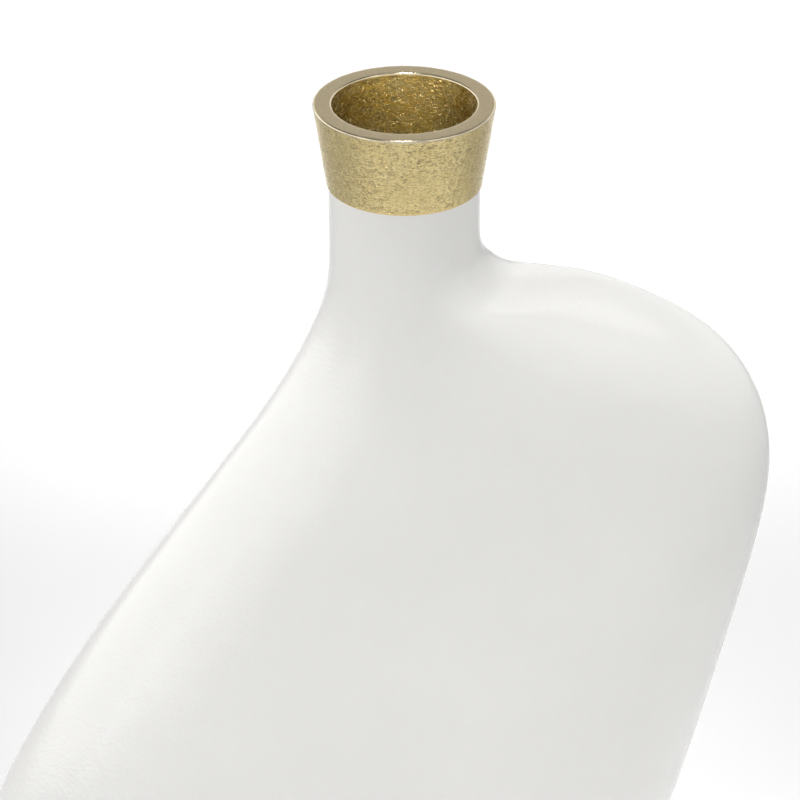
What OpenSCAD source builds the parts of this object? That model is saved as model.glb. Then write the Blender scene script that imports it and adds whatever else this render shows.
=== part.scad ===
// Flattened, lopsided porcelain vase with a cast metal collar around its mouth.
// Origin: middle of the bounding box, on the table. X runs across the wide face,
// Y from front to back (the front faces -Y), Z up. All sizes in millimetres.

/* [Body] */
// Width of the body from side to side
body_w = 272; // [240:4:304]
// Height of the body from its base to the seat under the collar
body_h = 318; // [286:4:350]
// Depth of the body from front to back where it is fullest
body_d = 76; // [66:1:86]
// Thickness of the porcelain wall
wall = 5; // [4:0.5:6]

/* [Neck and collar] */
// Outside diameter of the neck
neck_d = 50; // [47:1:53]
// Outside diameter of the collar at its rim
collar_d = 60; // [57:1:66]
// Height of the collar above its seat
collar_h = 28.7; // [24:0.1:34]
// Thickness of the collar at its rim
rim_t = 6.2; // [5:0.1:7]
// Height of the rebated neck end that the collar is bonded over
spigot_h = 4.5; // [3.5:0.5:6]

/* [Feet] */
// Diameter of each felt pad
pad_d = 12; // [10:0.5:13]
// Thickness of each felt pad
pad_h = 2; // [1:0.5:3]

/* [Hidden] */
neck_r = neck_d / 2;
bond = 0.5;                       // thickness of the adhesive
socket_r = neck_r - 1.3;          // inside of the collar where it fits over the neck end
spigot_r = socket_r - bond;
bore_r = neck_r - wall - 0.5;     // inside of the neck
edge = 0.5;                       // small bevel on the edges of the spigot
rim_round = 0.6;                  // rounding of the two rim edges
seat_z = pad_h + body_h;          // underside of the collar
floor_t = 6;                      // thickness of the floor
recess_h = 1.5;                   // hollow under the base, inside the foot rim
foot_rim = 16;                    // width of the foot rim at the two ends
sx = body_w / 272;
sz = body_h / 318;
neck_x = 13 * sx;                 // puts the middle of the whole width at X = 0
around = 48;                      // points in each ring of the body
outer_steps = 4;                  // rings between two sections, outside
inner_steps = 2;                  // rings between two sections, inside

// Sections through the body, from the seat down to the base. Each one is a flat cut
// that runs from a point on the left edge to a point on the right edge:
// [left x, left drop, right x, right drop, depth, skew, fullness]
// x is measured from the neck's centre line and the drop down from the seat.
// depth runs from 0, as deep as the neck, to 1, as deep as the body gets.
// skew moves the deepest place to the left when it is negative; fullness squares
// the section off from an ellipse.
body_sections = [
    [ -25,  30,  27,  27, 0.00,  0.00,  0.00],
    [ -26,  42,  40,  36, 0.00, -0.06, -0.05],
    [ -34,  61,  59,  32, 0.00, -0.10, -0.12],
    [ -46,  83,  79,  40, 0.05, -0.04,  0.08],
    [ -62, 106, 102,  52, 0.15, -0.03,  0.24],
    [ -78, 129, 118,  72, 0.30, -0.06,  0.30],
    [ -94, 152, 125, 100, 0.45, -0.04,  0.35],
    [-111, 178, 119, 134, 0.65,  0.00,  0.40],
    [-127, 206, 110, 168, 0.85,  0.00,  0.45],
    [-141, 234, 101, 204, 0.95,  0.00,  0.48],
    [-150, 262,  90, 242, 1.00,  0.00,  0.48],
    [-148, 288,  80, 278, 1.00,  0.00,  0.48],
    [-130, 308,  72, 306, 0.88,  0.00,  0.45],
    [-112, 318,  66, 318, 0.50,  0.00,  0.42],
    [ -98, 318,  60, 318, 0.15,  0.00,  0.40],
];
neck_sections = [for (drop = [0, 10, 20]) [-neck_r, drop, neck_r, drop, neck_r, 0, 0]];
sections = concat(neck_sections, [for (s = body_sections) full_size(s)]);
last = len(sections) - 1;

function full_size(s) = [
    s[0] * sx, s[1] * sz, s[2] * sx, s[3] * sz,
    neck_r + s[4] * (body_d / 2 - neck_r), s[5], s[6]
];

// Section number i, continued in a straight line past either end of the list.
function section(i) =
    i < 0 ? 2 * sections[0] - sections[1] :
    i > last ? 2 * sections[last] - sections[last - 1] : sections[i];

// Smooth blend of the four sections around place t (cubic B-spline).
function blended(t) =
    let (i = min(floor(t), last - 1), f = t - i, g = 1 - f)
    (g * g * g * section(i - 1) + (3 * f * f * f - 6 * f * f + 4) * section(i)
     + (3 * g * g * g - 6 * g * g + 4) * section(i + 1) + f * f * f * section(i + 2)) / 6;

// Ring of points around one section.
function ring(s) = [
    for (k = [0 : around - 1])
        let (c = cos(360 * k / around), d = sin(360 * k / around))
        [neck_x + (s[0] + s[2] + c * (s[2] - s[0])) / 2,
         s[4] * d * (1 + s[5] * c + s[6] * c * c),
         seat_z - (s[1] + s[3] + c * (s[3] - s[1])) / 2]
];

function level_ring(r, z) = [
    for (k = [0 : around - 1])
        [neck_x + r * cos(360 * k / around), r * sin(360 * k / around), z]
];

function unit(v) = v / norm(v);

// The section moved inwards by the thickness of the wall.
function inner_section(t) =
    let (a = blended(max(t - 0.01, 0)), b = blended(min(t + 0.01, last)), s = blended(t),
         left = unit([b[0] - a[0], b[1] - a[1]]), right = unit([b[2] - a[2], b[3] - a[3]]),
         w = wall + 0.5 * max(0, 1 - t / 3), v = w + (floor_t - wall) * max(0, t + 2 - last) / 2)
    [s[0] + v * left[1], s[1] - v * left[0], s[2] - v * right[1], s[3] + v * right[0],
     s[4] - w, s[5], s[6]];

// A ring of the flat base, moved inwards at the ends and at the sides.
function base_ring(at_ends, at_sides, lift) =
    let (s = sections[last])
    [for (p = ring([s[0] + at_ends, s[1], s[2] - at_ends, s[3], s[4] - at_sides, 0, s[6]]))
        p + [0, 0, lift]];

// Closed surface through a stack of rings, capped at the first and the last one.
module skin(rings) {
    n = len(rings);
    quads = [
        for (i = [0 : n - 2], k = [0 : around - 1])
            let (m = (k + 1) % around)
            [i * around + k, (i + 1) * around + k, (i + 1) * around + m, i * around + m]
    ];
    halves = [for (q = quads) each [[q[0], q[1], q[2]], [q[0], q[2], q[3]]]];
    start = [for (k = [0 : around - 1]) k];
    finish = [for (k = [around - 1 : -1 : 0]) (n - 1) * around + k];
    polyhedron([for (r = rings) each r], concat([start], halves, [finish]));
}

// One-piece slip-cast shell: base, walls, neck and the rebated end under the collar.
module vase_body() {
    outside = [for (i = [last * outer_steps : -1 : 0]) ring(blended(i / outer_steps))];
    inside = [for (i = [0 : last * inner_steps]) ring(inner_section(i / inner_steps))];
    top = seat_z + spigot_h;
    color("whitesmoke")
        skin(concat(
            [base_ring(foot_rim + 1, foot_rim + 1, recess_h), base_ring(foot_rim, foot_rim, 0)],
            outside,
            [level_ring(spigot_r, seat_z), level_ring(spigot_r, top - edge),
             level_ring(spigot_r - edge, top), level_ring(bore_r + edge, top),
             level_ring(bore_r, top - edge)],
            inside
        ));
}

// Quarter-round corner between a level face and a wall, as profile points.
function corner(x, z, r, from, to) = [
    for (i = [0 : 4])
        let (a = from + (to - from) * i / 4)
        [x + r * cos(a), z + r * sin(a)]
];

// Cast ring that flares upwards, counterbored underneath to fit over the neck end.
module neck_collar() {
    out_r = collar_d / 2;
    in_r = out_r - rim_t;
    ledge = spigot_h + bond;
    top = collar_h - rim_round;
    profile = concat(
        [[socket_r, 0], [neck_r + 0.3, 0], [neck_r + 0.7, 0.5]],
        corner(out_r - rim_round, top, rim_round, 0, 90),
        corner(in_r + rim_round, top, rim_round, 90, 180),
        [[bore_r, ledge + 1], [bore_r + 0.5, ledge], [socket_r, ledge]]
    );
    color("goldenrod")
        translate([neck_x, 0, seat_z])
            rotate_extrude($fn = 128)
                polygon(profile);
}

// Bond line between the neck end and the collar, beside the spigot and over its top.
module collar_adhesive() {
    ledge = spigot_h + bond;
    color("lightyellow")
        translate([neck_x, 0, seat_z])
            rotate_extrude($fn = 128)
                polygon([
                    [spigot_r, 0], [socket_r, 0], [socket_r, ledge],
                    [bore_r + 1, ledge], [bore_r + 1, spigot_h], [spigot_r, spigot_h]
                ]);
}

// Round felt pad number i of four, stuck under the foot rim.
module foot_pad(i) {
    s = sections[last];
    middle = (s[0] + s[2]) / 2;
    reach = (s[2] - s[0]) / 2 - 22;
    side = i % 2 == 0 ? -1 : 1;
    face = i < 2 ? -1 : 1;
    color("dimgray")
        translate([neck_x + middle + side * reach, face * (s[4] - 12.8), 0])
            cylinder(d = pad_d, h = pad_h, $fn = 64);
}

vase_body();
neck_collar();
collar_adhesive();
foot_pad(0);  // foot_pad_1
foot_pad(1);  // foot_pad_2
foot_pad(2);  // foot_pad_3
foot_pad(3);  // foot_pad_4
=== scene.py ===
"""Looks for a flattened porcelain vase with a cast metal collar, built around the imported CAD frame."""
import math

import bpy
import numpy as np
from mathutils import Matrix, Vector, noise


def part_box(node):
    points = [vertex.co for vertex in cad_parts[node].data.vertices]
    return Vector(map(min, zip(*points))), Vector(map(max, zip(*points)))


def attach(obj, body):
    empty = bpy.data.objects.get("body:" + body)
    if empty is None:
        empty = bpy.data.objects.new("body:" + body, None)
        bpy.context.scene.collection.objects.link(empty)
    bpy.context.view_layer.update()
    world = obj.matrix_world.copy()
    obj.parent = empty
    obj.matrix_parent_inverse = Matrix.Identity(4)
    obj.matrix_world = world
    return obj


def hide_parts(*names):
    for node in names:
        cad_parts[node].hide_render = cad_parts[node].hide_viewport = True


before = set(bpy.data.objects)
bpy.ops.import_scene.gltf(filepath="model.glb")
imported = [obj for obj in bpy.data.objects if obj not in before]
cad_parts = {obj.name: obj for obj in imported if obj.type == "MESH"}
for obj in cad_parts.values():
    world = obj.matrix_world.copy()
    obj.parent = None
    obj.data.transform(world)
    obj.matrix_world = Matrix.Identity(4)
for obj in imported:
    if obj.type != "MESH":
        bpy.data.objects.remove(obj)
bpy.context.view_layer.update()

MM = 0.001

# ---------------------------------------------------------------- places from the frame
collar_low, collar_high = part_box("neck_collar")
body_low, body_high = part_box("vase_body")
glue_low, glue_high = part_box("collar_adhesive")

neck_x = (collar_low.x + collar_high.x) / 2
seat_z = collar_low.z
base_z = body_low.z
collar_r = (collar_high.x - collar_low.x) / 2
collar_h = collar_high.z - collar_low.z
ledge_h = glue_high.z - seat_z
spigot_h = body_high.z - seat_z
socket_r = (glue_high.x - glue_low.x) / 2

# Sizes that the frame's boxes don't show, as the CAD part has them.
seat_step = 1.3 * MM     # from the socket out to the neck's side
bond = 0.5 * MM          # thickness of the adhesive
wall = 5 * MM
neck_extra = 0.5 * MM    # the wall is this much thicker at the seat
floor_t = 6 * MM
edge = 0.5 * MM
rim_t = 6.2 * MM
rim_round = 0.6 * MM
recess_h = 1.5 * MM
foot_rim = 16 * MM

neck_r = socket_r + seat_step
spigot_r = socket_r - bond
bore_r = neck_r - wall - neck_extra

WIDTH_SCALE = (body_high.x - body_low.x) / (271.5 * MM)
HEIGHT_SCALE = (seat_z - base_z) / (318 * MM)
HALF_DEPTH = (body_high.y - body_low.y) / 2

# Sections through the body, from below the neck down to the base, in mm from the neck's
# centre line and below the seat: left x, left drop, right x, right drop, depth share,
# skew, fullness. They are the CAD body's own sections.
BODY_SECTIONS = [
    [-25, 30, 27, 27, 0.00, 0.00, 0.00],
    [-26, 42, 40, 36, 0.00, -0.06, -0.05],
    [-34, 61, 59, 32, 0.00, -0.10, -0.12],
    [-46, 83, 79, 40, 0.05, -0.04, 0.08],
    [-62, 106, 102, 52, 0.15, -0.03, 0.24],
    [-78, 129, 118, 72, 0.30, -0.06, 0.30],
    [-94, 152, 125, 100, 0.45, -0.04, 0.35],
    [-111, 178, 119, 134, 0.65, 0.00, 0.40],
    [-127, 206, 110, 168, 0.85, 0.00, 0.45],
    [-141, 234, 101, 204, 0.95, 0.00, 0.48],
    [-150, 262, 90, 242, 1.00, 0.00, 0.48],
    [-148, 288, 80, 278, 1.00, 0.00, 0.48],
    [-130, 308, 72, 306, 0.88, 0.00, 0.45],
    [-112, 318, 66, 318, 0.50, 0.00, 0.42],
    [-98, 318, 60, 318, 0.15, 0.00, 0.40],
]


# ---------------------------------------------------------------- meshes
def full_size(row):
    left_x, left_drop, right_x, right_drop, depth, skew, full = row
    across = WIDTH_SCALE * MM
    down = HEIGHT_SCALE * MM
    half_depth = neck_r + depth * (HALF_DEPTH - neck_r)
    return [left_x * across, left_drop * down, right_x * across, right_drop * down,
            half_depth, skew, full]


NECK = [[-neck_r, drop * MM, neck_r, drop * MM, neck_r, 0, 0] for drop in (0, 10, 20)]
SECTIONS = np.array(NECK + [full_size(row) for row in BODY_SECTIONS])
LAST = len(SECTIONS) - 1


def blended(t):
    """The section at place t: a cubic B-spline through the list, straight past both ends."""
    first = 2 * SECTIONS[0] - SECTIONS[1]
    after = 2 * SECTIONS[-1] - SECTIONS[-2]
    rows = np.vstack([first, SECTIONS, after])
    i = min(int(math.floor(t)), LAST - 1)
    f = t - i
    g = 1 - f
    weights = [g**3, 3 * f**3 - 6 * f**2 + 4, 3 * g**3 - 6 * g**2 + 4, f**3]
    return np.array(weights) @ rows[i:i + 4] / 6


def ring(section, around):
    left_x, left_drop, right_x, right_drop, half_depth, skew, full = section
    turn = np.linspace(0, 2 * math.pi, around, endpoint=False)
    c, s = np.cos(turn), np.sin(turn)
    x = neck_x + (left_x + right_x) / 2 + c * (right_x - left_x) / 2
    y = half_depth * s * (1 + skew * c + full * c * c)
    z = seat_z - (left_drop + right_drop) / 2 - c * (right_drop - left_drop) / 2
    return np.stack([x, y, z], axis=1)


def level_ring(radius, z, around):
    turn = np.linspace(0, 2 * math.pi, around, endpoint=False)
    return np.stack([neck_x + radius * np.cos(turn), radius * np.sin(turn), np.full(around, z)], axis=1)


def inner_section(t):
    """The section moved inwards by the thickness of the wall."""
    s = blended(t)
    before, after = blended(max(t - 0.01, 0)), blended(min(t + 0.01, LAST))
    left = after[0:2] - before[0:2]
    right = after[2:4] - before[2:4]
    left /= np.linalg.norm(left)
    right /= np.linalg.norm(right)
    w = wall + neck_extra * max(0, 1 - t / 3)
    v = w + (floor_t - wall) * max(0, t + 2 - LAST) / 2
    return np.array([
        s[0] + v * left[1], s[1] - v * left[0], s[2] - v * right[1], s[3] + v * right[0],
        s[4] - w, s[5], s[6]])


def base_ring(at_ends, at_sides, lift, around):
    s = SECTIONS[-1]
    moved = ring([s[0] + at_ends, s[1], s[2] - at_ends, s[3], s[4] - at_sides, 0, s[6]], around)
    return moved + np.array([0, 0, lift])


def mesh_object(name, vertices, faces, materials, face_material=None, sharp=35):
    mesh = bpy.data.meshes.new(name)
    mesh.from_pydata([tuple(v) for v in vertices], [], faces)
    for material in materials:
        mesh.materials.append(material)
    if face_material is not None:
        mesh.polygons.foreach_set("material_index", face_material)
    mesh.polygons.foreach_set("use_smooth", [True] * len(mesh.polygons))
    mesh.set_sharp_from_angle(angle=math.radians(sharp))
    mesh.validate()
    mesh.update()
    piece = bpy.data.objects.new(name, mesh)
    bpy.context.scene.collection.objects.link(piece)
    return piece


def band_faces(rows, around, closed=False):
    """Quads between neighbouring rings; closed joins the last ring to the first."""
    faces = []
    for i in range(rows if closed else rows - 1):
        a, b = i * around, ((i + 1) % rows) * around
        for k in range(around):
            m = (k + 1) % around
            faces.append((a + k, a + m, b + m, b + k))
    return faces


def build_shell(glaze, bisque):
    """The one-piece porcelain shell: foot, outside, neck end under the collar, and inside."""
    around = 224
    outer_steps = 12  # rings between two sections
    inner_steps = 5
    top = seat_z + spigot_h
    low = [base_ring(foot_rim + 1 * MM, foot_rim + 1 * MM, recess_h, around),
           base_ring(foot_rim, foot_rim, 0, around)]
    outside = [ring(blended(t), around) for t in np.linspace(LAST, 0, LAST * outer_steps + 1)]
    end = [level_ring(spigot_r, seat_z, around), level_ring(spigot_r, top - edge, around),
           level_ring(spigot_r - edge, top, around), level_ring(bore_r + edge, top, around),
           level_ring(bore_r, top - edge, around)]
    inside = [ring(inner_section(t), around) for t in np.linspace(0, LAST, LAST * inner_steps + 1)]
    rings = low + outside + end + inside
    faces = band_faces(len(rings), around)
    faces.append(tuple(range(around - 1, -1, -1)))
    faces.append(tuple((len(rings) - 1) * around + k for k in range(around)))
    # The second band of faces is the flat rim that touches the pads. It is left unglazed.
    marks = [1 if around <= i < 2 * around else 0 for i in range(len(faces))]
    return mesh_object("porcelain_shell", np.concatenate(rings), faces, [glaze, bisque], marks)


def cast_height(x, y, z):
    """Height of the cast skin, from about -1 to 1: fine wrinkles that lie mostly level."""
    p = Vector((x / MM, y / MM, z / MM))
    drift = noise.noise(p * 0.16)
    bend = noise.noise(p * 0.35 + Vector((9, 4, 1)))
    q = Vector((p.x * 0.55, p.y * 0.55, p.z * 1.15 + 1.2 * bend))
    wrinkle = 1 - 2.4 * abs(noise.noise(q + Vector((31, 7, 3))))
    fine = noise.noise(Vector((p.x * 1.2, p.y * 1.2, p.z * 2.1)))
    strength = 0.45 + 0.55 * min(1, max(0, 0.5 + 1.6 * noise.noise(p * 0.07 + Vector((2, 5, 8)))))
    return 0.35 * drift + strength * (0.55 * wrinkle + 0.30 * fine)


def arc(x, z, r, start, finish, steps):
    turn = np.radians(np.linspace(start, finish, steps + 1))
    return [(x + r * math.cos(a), z + r * math.sin(a)) for a in turn]


def divided(a, b, step):
    """Points from a towards b about a step apart, without b."""
    n = max(1, round(math.dist(a, b) / step))
    return [(a[0] + (b[0] - a[0]) * i / n, a[1] + (b[1] - a[1]) * i / n) for i in range(n)]


def build_collar(materials):
    """The flared ring, with its cast skin on the outer and inner walls."""
    around = 720
    step = 0.25 * MM
    relief = 0.05 * MM
    fade = 6  # rows over which the cast skin dies away at an edge
    inner_r = collar_r - rim_t
    shoulder = collar_h - rim_round
    outer_foot = (neck_r + 0.7 * MM, 0.5 * MM)
    outer_arc = arc(collar_r - rim_round, shoulder, rim_round, 0, 90, 5)
    inner_arc = arc(inner_r + rim_round, shoulder, rim_round, 90, 180, 5)
    inner_foot = (bore_r, ledge_h + 1 * MM)
    outer_wall = divided(outer_foot, outer_arc[0], step)
    top = outer_arc + divided(outer_arc[-1], inner_arc[0], 1 * MM)[1:] + inner_arc
    inner_wall = divided(inner_arc[-1], inner_foot, step)[1:]
    hidden = [inner_foot, (bore_r + 0.5 * MM, ledge_h), (socket_r, ledge_h), (socket_r, 0)]
    profile = [(neck_r + 0.3 * MM, 0)] + outer_wall + top + inner_wall + hidden
    first_top = 1 + len(outer_wall)
    first_inner = first_top + len(top)
    last_inner = first_inner + len(inner_wall)

    vertices = []
    for i, (r, z) in enumerate(profile):
        depth = 0.0
        if 1 <= i < first_top:
            depth = relief * min(1, (i - 1) / fade, (first_top - i) / fade)
        elif first_inner <= i < last_inner:
            depth = -relief * min(1, (i - first_inner) / fade, (last_inner - i) / fade)
        for k in range(around):
            a = 2 * math.pi * k / around
            x, y = math.cos(a), math.sin(a)
            raised = depth * (cast_height(x * r, y * r, z) - 1) if depth else 0
            vertices.append((neck_x + (r + raised) * x, (r + raised) * y, seat_z + z))
    rows = len(profile)
    faces = band_faces(rows, around, closed=True)
    outer_end = first_top + len(outer_arc) - 1
    inner_start = first_inner - len(inner_arc)
    # Per row: 4 lower edge, 0 outer wall, 3 the two rim rounds, 2 flat rim, 1 inner wall.
    bands = ([4] + [0] * (first_top - 2) + [3] * (outer_end - first_top + 1)
             + [2] * (inner_start - outer_end) + [3] * (first_inner - inner_start)
             + [1] * (rows - first_inner))
    marks = [bands[i // around] for i in range(len(faces))]
    return mesh_object("cast_collar", vertices, faces, materials, marks, sharp=50)


def build_pad(node, felt):
    """A round felt pad with a soft, slightly squashed edge."""
    low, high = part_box(node)
    centre = (low + high) / 2
    radius, thick = (high.x - low.x) / 2, high.z - low.z
    soft = 0.45 * MM
    fibre = 0.06 * MM
    hub = 0.02 * radius
    around = 96
    profile = [(hub, 0), (radius * 0.35, 0), (radius * 0.7, 0)]
    profile += arc(radius - soft, soft, soft, -90, 0, 5)
    profile += divided((radius, soft), (radius, thick), 0.35 * MM)[1:]
    profile += [(radius - 0.05 * MM, thick), (radius * 0.5, thick), (hub, thick)]
    vertices = []
    for r, z in profile:
        for k in range(around):
            a = 2 * math.pi * k / around
            fuzz = noise.noise(Vector((math.cos(a) * 6, math.sin(a) * 6, z / MM * 1.5)))
            side = fibre * fuzz if r > radius * 0.9 and 0 < z < thick else 0
            vertices.append((centre.x + (r - abs(side)) * math.cos(a),
                             centre.y + (r - abs(side)) * math.sin(a), low.z + z))
    faces = band_faces(len(profile), around)
    faces.append(tuple(range(around - 1, -1, -1)))
    faces.append(tuple((len(profile) - 1) * around + k for k in range(around)))
    return mesh_object("felt_" + node, vertices, faces, [felt], sharp=60)


# ---------------------------------------------------------------- materials
def new_material(name, base, roughness, metallic=0.0):
    material = bpy.data.materials.new(name)
    material.use_nodes = True
    nodes = material.node_tree.nodes
    shader = nodes["Principled BSDF"]
    shader.inputs["Base Color"].default_value = (*base, 1)
    shader.inputs["Roughness"].default_value = roughness
    shader.inputs["Metallic"].default_value = metallic
    place = nodes.new("ShaderNodeTexCoord")
    return material, nodes, material.node_tree.links, shader, place.outputs["Object"]


def stretched(nodes, links, place, scale):
    mapping = nodes.new("ShaderNodeMapping")
    mapping.inputs["Scale"].default_value = scale
    links.new(place, mapping.inputs["Vector"])
    return mapping.outputs["Vector"]


def noise_value(nodes, links, vector, scale, detail=3.0, roughness=0.5, distortion=0.0):
    texture = nodes.new("ShaderNodeTexNoise")
    texture.inputs["Scale"].default_value = scale
    texture.inputs["Detail"].default_value = detail
    texture.inputs["Roughness"].default_value = roughness
    texture.inputs["Distortion"].default_value = distortion
    links.new(vector, texture.inputs["Vector"])
    return texture.outputs["Fac"]


def remap(nodes, links, value, low, high, start=0.0, finish=1.0):
    node = nodes.new("ShaderNodeMapRange")
    node.inputs["From Min"].default_value = start
    node.inputs["From Max"].default_value = finish
    node.inputs["To Min"].default_value = low
    node.inputs["To Max"].default_value = high
    links.new(value, node.inputs["Value"])
    return node.outputs["Result"]


def mixed_colour(nodes, links, value, first, second):
    node = nodes.new("ShaderNodeMix")
    node.data_type = "RGBA"
    node.inputs["A"].default_value = (*first, 1)
    node.inputs["B"].default_value = (*second, 1)
    links.new(value, node.inputs["Factor"])
    return node.outputs["Result"]


def bump(nodes, links, height, distance, normal=None):
    node = nodes.new("ShaderNodeBump")
    node.inputs["Strength"].default_value = 1
    node.inputs["Distance"].default_value = distance
    links.new(height, node.inputs["Height"])
    if normal is not None:
        links.new(normal, node.inputs["Normal"])
    return node.outputs["Normal"]


def glaze_material():
    """White glaze with a fine orange-peel surface."""
    base = (0.76, 0.755, 0.735)
    material, nodes, links, shader, place = new_material("white_glaze", base, 0.08)
    shader.inputs["Specular IOR Level"].default_value = 0.5
    cloud = noise_value(nodes, links, place, 22, 2)
    tone = mixed_colour(nodes, links, remap(nodes, links, cloud, 0, 1, 0.3, 0.7),
                        (0.75, 0.745, 0.725), (0.77, 0.765, 0.745))
    links.new(tone, shader.inputs["Base Color"])
    patch = noise_value(nodes, links, place, 60, 3)
    links.new(remap(nodes, links, patch, 0.11, 0.15, 0.3, 0.7), shader.inputs["Roughness"])
    peel = noise_value(nodes, links, place, 750, 1.5, 0.45)
    broad = noise_value(nodes, links, place, 90, 1)
    rough = bump(nodes, links, peel, 0.10 * MM)
    links.new(bump(nodes, links, broad, 0.12 * MM, normal=rough), shader.inputs["Normal"])
    return material


def bisque_material():
    """Unglazed porcelain on the foot rim, with a fine sandy grain."""
    material, nodes, links, shader, place = new_material("bisque_foot", (0.74, 0.71, 0.66), 0.85)
    grain = noise_value(nodes, links, place, 1600, 4, 0.6)
    tone = mixed_colour(nodes, links, remap(nodes, links, grain, 0, 1, 0.3, 0.7),
                        (0.70, 0.66, 0.60), (0.78, 0.75, 0.70))
    links.new(tone, shader.inputs["Base Color"])
    links.new(bump(nodes, links, grain, 0.08 * MM), shader.inputs["Normal"])
    return material


def arithmetic(nodes, links, operation, first, second=None, constant=0.0):
    node = nodes.new("ShaderNodeMath")
    node.operation = operation
    node.inputs[1].default_value = constant
    links.new(first, node.inputs[0])
    if second is not None:
        links.new(second, node.inputs[1])
    return node.outputs["Value"]


def creases(nodes, links, place):
    """1 in the short level creases of a cast skin and 0 between them."""
    level = stretched(nodes, links, place, (1, 1, 4.0))
    field = noise_value(nodes, links, level, 390, 2, 0.5, 0.5)
    away = arithmetic(nodes, links, "ABSOLUTE", arithmetic(nodes, links, "SUBTRACT", field, None, 0.5))
    line = remap(nodes, links, away, 1, 0, 0, 0.045)
    broken = remap(nodes, links, noise_value(nodes, links, place, 640, 1), 0, 1, 0.40, 0.56)
    zone = remap(nodes, links, noise_value(nodes, links, place, 55, 1), 0.35, 1, 0.40, 0.56)
    return arithmetic(nodes, links, "MULTIPLY", arithmetic(nodes, links, "MULTIPLY", line, broken), zone)


def cast_material(name, dull, bright, stain, smooth, coarse):
    """Gold-coloured cast metal with a fine wrinkled skin, darker in its creases."""
    material, nodes, links, shader, place = new_material(name, dull, 0.2, 1.0)
    crease = creases(nodes, links, place)
    grain = noise_value(nodes, links, stretched(nodes, links, place, (1, 1, 1.8)), 1300, 2, 0.6, 0.3)
    metal = mixed_colour(nodes, links, remap(nodes, links, grain, 0, 1, 0.35, 0.65), dull, bright)
    patch = noise_value(nodes, links, place, 140, 4, 0.6)
    tint = mixed_colour(nodes, links, remap(nodes, links, patch, 0, 1, 0.35, 0.65),
                        (0.96, 0.94, 0.88), (1, 1, 1))
    toned = nodes.new("ShaderNodeMix")
    toned.data_type = "RGBA"
    toned.blend_type = "MULTIPLY"
    toned.inputs["Factor"].default_value = 1
    links.new(metal, toned.inputs["A"])
    links.new(tint, toned.inputs["B"])
    stained = nodes.new("ShaderNodeMix")
    stained.data_type = "RGBA"
    links.new(remap(nodes, links, crease, 0, 0.55), stained.inputs["Factor"])
    links.new(toned.outputs["Result"], stained.inputs["A"])
    stained.inputs["B"].default_value = (*stain, 1)
    links.new(stained.outputs["Result"], shader.inputs["Base Color"])
    links.new(remap(nodes, links, patch, smooth, coarse, 0.3, 0.7), shader.inputs["Roughness"])
    fine = bump(nodes, links, grain, 0.05 * MM)
    sunk = arithmetic(nodes, links, "MULTIPLY", crease, None, -1)
    links.new(bump(nodes, links, sunk, 0.36 * MM, normal=fine), shader.inputs["Normal"])
    return material


def rim_material():
    """The collar's rim, ground flat and left satin."""
    material, nodes, links, shader, place = new_material("satin_rim", (0.57, 0.49, 0.33), 0.42, 1.0)
    grain = noise_value(nodes, links, place, 2600, 3, 0.6)
    tone = mixed_colour(nodes, links, remap(nodes, links, grain, 0, 1, 0.3, 0.7),
                        (0.39, 0.31, 0.175), (0.60, 0.505, 0.32))
    links.new(tone, shader.inputs["Base Color"])
    links.new(remap(nodes, links, grain, 0.34, 0.46, 0.3, 0.7), shader.inputs["Roughness"])
    links.new(bump(nodes, links, grain, 0.02 * MM), shader.inputs["Normal"])
    return material


def burnished_material(name, colour):
    """Cast metal rubbed bright along an edge."""
    material, nodes, links, shader, place = new_material(name, colour, 0.16, 1.0)
    wear = noise_value(nodes, links, place, 300, 3, 0.6)
    duller = tuple(0.82 * c for c in colour)
    tone = mixed_colour(nodes, links, remap(nodes, links, wear, 0, 1, 0.35, 0.65), duller, colour)
    links.new(tone, shader.inputs["Base Color"])
    links.new(remap(nodes, links, wear, 0.14, 0.24, 0.3, 0.7), shader.inputs["Roughness"])
    links.new(bump(nodes, links, wear, 0.02 * MM), shader.inputs["Normal"])
    return material


def adhesive_material():
    """Cured epoxy, a little cloudy."""
    material, nodes, links, shader, place = new_material("cured_epoxy", (0.80, 0.74, 0.58), 0.4)
    cloud = noise_value(nodes, links, place, 500, 3)
    tone = mixed_colour(nodes, links, cloud, (0.76, 0.70, 0.54), (0.86, 0.82, 0.68))
    links.new(tone, shader.inputs["Base Color"])
    links.new(bump(nodes, links, cloud, 0.05 * MM), shader.inputs["Normal"])
    return material


def felt_material():
    """Pressed felt: short matted fibres."""
    material, nodes, links, shader, place = new_material("pressed_felt", (0.55, 0.54, 0.52), 0.95)
    shader.inputs["Sheen Weight"].default_value = 0.4
    fibres = noise_value(nodes, links, place, 2200, 5, 0.7, 1.2)
    tone = mixed_colour(nodes, links, remap(nodes, links, fibres, 0, 1, 0.3, 0.7),
                        (0.45, 0.44, 0.42), (0.66, 0.65, 0.63))
    links.new(tone, shader.inputs["Base Color"])
    links.new(bump(nodes, links, fibres, 0.12 * MM), shader.inputs["Normal"])
    return material


# ---------------------------------------------------------------- pieces
shell = build_shell(glaze_material(), bisque_material())
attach(shell, "root")
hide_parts("vase_body")

collar = build_collar([
    cast_material("cast_gold_outside", (0.58, 0.46, 0.21), (0.87, 0.735, 0.40),
                  (0.26, 0.20, 0.08), 0.17, 0.26),
    # The inside wall is a darker copy of the outside metal: painted shade down in the mouth.
    cast_material("cast_gold_inside_painted_shade", (0.44, 0.34, 0.13), (0.70, 0.575, 0.265),
                  (0.20, 0.145, 0.05), 0.21, 0.29),
    rim_material(),
    burnished_material("burnished_rim_edge", (0.72, 0.63, 0.45)),
    burnished_material("gilt_lower_edge", (0.86, 0.60, 0.17)),
])
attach(collar, "root")
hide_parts("neck_collar")

felt = felt_material()
for number in (1, 2, 3, 4):
    node = f"foot_pad_{number}"
    pad = build_pad(node, felt)
    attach(pad, "root")
    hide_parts(node)

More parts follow.
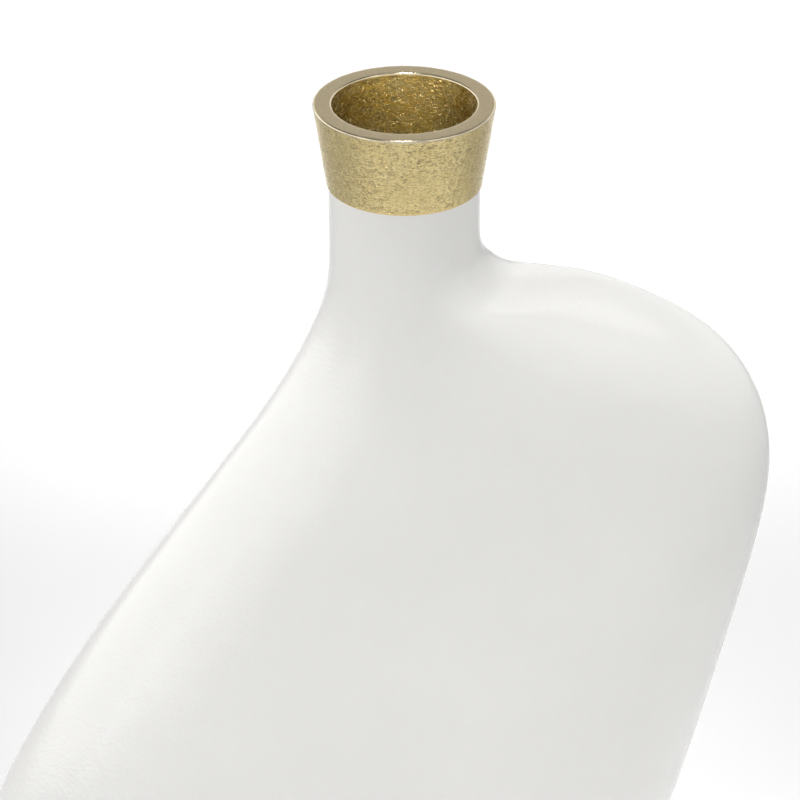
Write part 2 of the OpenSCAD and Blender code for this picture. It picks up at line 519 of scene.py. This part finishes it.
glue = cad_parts["collar_adhesive"]
glue.data.materials.clear()
glue.data.materials.append(adhesive_material())


# ---------------------------------------------------------------- studio
def floor():
    size = 3.0
    corners = [(-size, -size, 0), (size, -size, 0), (size, size, 0), (-size, size, 0)]
    material, nodes, links, shader, place = new_material("pale_floor", (0.93, 0.93, 0.93), 0.9)
    shader.inputs["Specular IOR Level"].default_value = 0.1
    grain = noise_value(nodes, links, place, 30, 2)
    tone = mixed_colour(nodes, links, grain, (0.925, 0.925, 0.925), (0.935, 0.935, 0.935))
    links.new(tone, shader.inputs["Base Color"])
    plane = mesh_object("studio_floor", corners, [(0, 1, 2, 3)], [material])


def area_light(name, place, target, size, power):
    light = bpy.data.lights.new(name, "AREA")
    light.shape = "RECTANGLE"
    light.size, light.size_y = size
    light.energy = power
    lamp = bpy.data.objects.new(name, light)
    lamp.location = place
    lamp.rotation_euler = (Vector(target) - Vector(place)).to_track_quat("-Z", "Y").to_euler()
    bpy.context.scene.collection.objects.link(lamp)
    return lamp


def floor_spot(name, place, target, half_angle, power):
    """A soft-edged spot that lays a pool of light on the floor."""
    light = bpy.data.lights.new(name, "SPOT")
    light.energy = power
    light.spot_size = 2 * math.radians(half_angle)
    light.spot_blend = 0.5
    light.shadow_soft_size = 0.15
    lamp = bpy.data.objects.new(name, light)
    lamp.location = place
    lamp.rotation_euler = (Vector(target) - Vector(place)).to_track_quat("-Z", "Y").to_euler()
    bpy.context.scene.collection.objects.link(lamp)
    return lamp


def sky(high, low, low_left):
    """White surroundings: dim above, brighter below about 30 degrees, most of all to the left."""
    world = bpy.data.worlds.new("studio_world")
    world.use_nodes = True
    nodes, links = world.node_tree.nodes, world.node_tree.links
    background = nodes["Background"]
    background.inputs["Color"].default_value = (1, 1, 1, 1)
    direction = nodes.new("ShaderNodeTexCoord")
    split = nodes.new("ShaderNodeSeparateXYZ")
    links.new(direction.outputs["Generated"], split.inputs["Vector"])
    level = remap(nodes, links, split.outputs["X"], low_left, low, -0.75, -0.5)
    rise = nodes.new("ShaderNodeMapRange")
    rise.inputs["From Min"].default_value = 0.45
    rise.inputs["From Max"].default_value = 0.55
    rise.inputs["To Max"].default_value = high
    links.new(split.outputs["Z"], rise.inputs["Value"])
    links.new(level, rise.inputs["To Min"])
    links.new(rise.outputs["Result"], background.inputs["Strength"])
    bpy.context.scene.world = world


def camera():
    """Long lens from the front, 27 degrees above level, aimed beside the neck."""
    distance = 2.0
    tilt = math.radians(27.3)
    left_of_neck = 1.4 * MM
    below_seat = 80.4 * MM
    target = Vector((neck_x - left_of_neck, 0, seat_z - below_seat))
    data = bpy.data.cameras.new("photo_camera")
    data.sensor_width = 36
    data.lens = 269
    data.clip_end = 50
    eye = bpy.data.objects.new("photo_camera", data)
    eye.location = target + distance * Vector((0, -math.cos(tilt), math.sin(tilt)))
    eye.rotation_euler = (math.radians(90) - tilt, 0, 0)
    bpy.context.scene.collection.objects.link(eye)
    bpy.context.scene.camera = eye


floor()
sky(0.24, 1.13, 1.95)
middle = (neck_x, 0, 0.22)
area_light("right_box", (0.8, -0.55, 1.37), middle, (0.7, 0.7), 1.8)
area_light("left_box", (-0.55, -0.72, 0.12), (0, 0, 0.12), (0.6, 0.22), 0.42)
floor_spot("far_spot", (0, 0.8, 2), (0, 0.8, 0), 12, 95)
floor_spot("near_spot", (0.03, 0.35, 2), (0.03, 0.35, 0), 10, 66)
floor_spot("front_spot", (-0.05, -0.2, 2), (-0.05, -0.2, 0), 12, 64)
floor_spot("right_spot", (0.3, -0.1, 2), (0.3, -0.1, 0), 5.7, 88)
floor_spot("shoulder_spot", (0.2, -0.15, 2), (0.14, 0, 0.2), 5, 14)
camera()
bpy.context.scene.view_settings.view_transform = "Standard"
